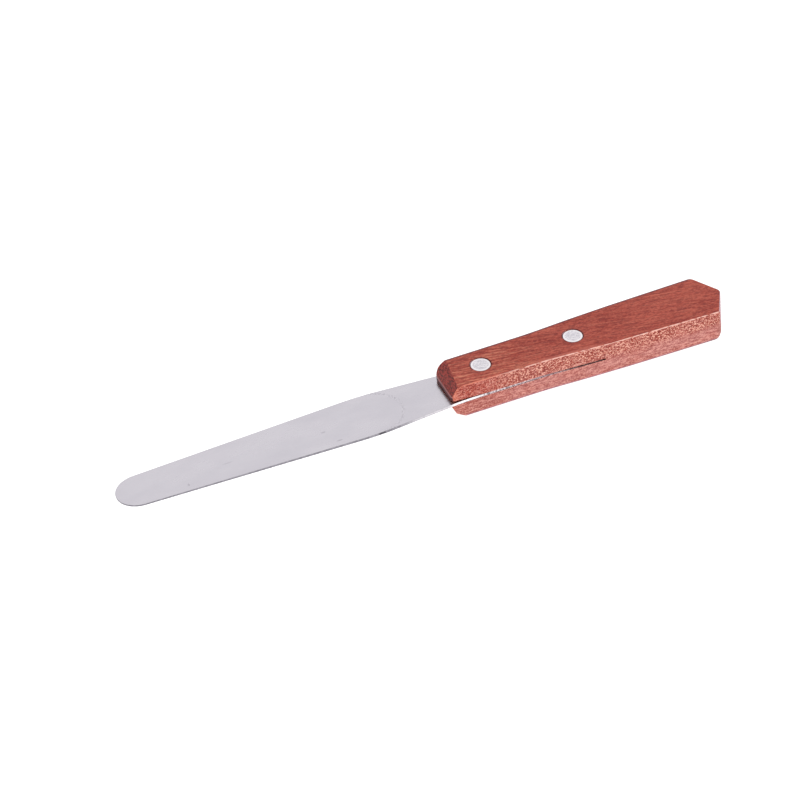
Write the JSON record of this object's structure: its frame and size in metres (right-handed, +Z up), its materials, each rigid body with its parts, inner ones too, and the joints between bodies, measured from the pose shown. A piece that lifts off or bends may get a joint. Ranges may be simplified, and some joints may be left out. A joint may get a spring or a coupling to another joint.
{
  "type": "palette knife",
  "caption": "Palette knife with a straight, taper-ground, round-tipped steel blade riveted into a one-piece hardwood handle with a pointed butt.",
  "frame": {"origin": "middle of the overall length, on the centre line, in the plane of the handle's flat underside", "axes": "+X along the knife from the blade's tip towards the handle's butt, +Y across it, +Z up out of the handle's top face"},
  "size_m": [0.2032, 0.0202, 0.0127],
  "materials": {
    "blade_steel": "satin, finely polished along the blade, with light handling scratches",
    "handle_wood": "reddish hardwood, sanded and lightly oiled, open pored",
    "rivet_metal": "sanded flush with the wood"
  },
  "bodies": {
    "root": {"blade": "blade_steel", "handle": "handle_wood", "front_rivet_barrel": "rivet_metal", "front_rivet_pin": "rivet_metal", "rear_rivet_barrel": "rivet_metal", "rear_rivet_pin": "rivet_metal"}
  },
  "joints": []
}
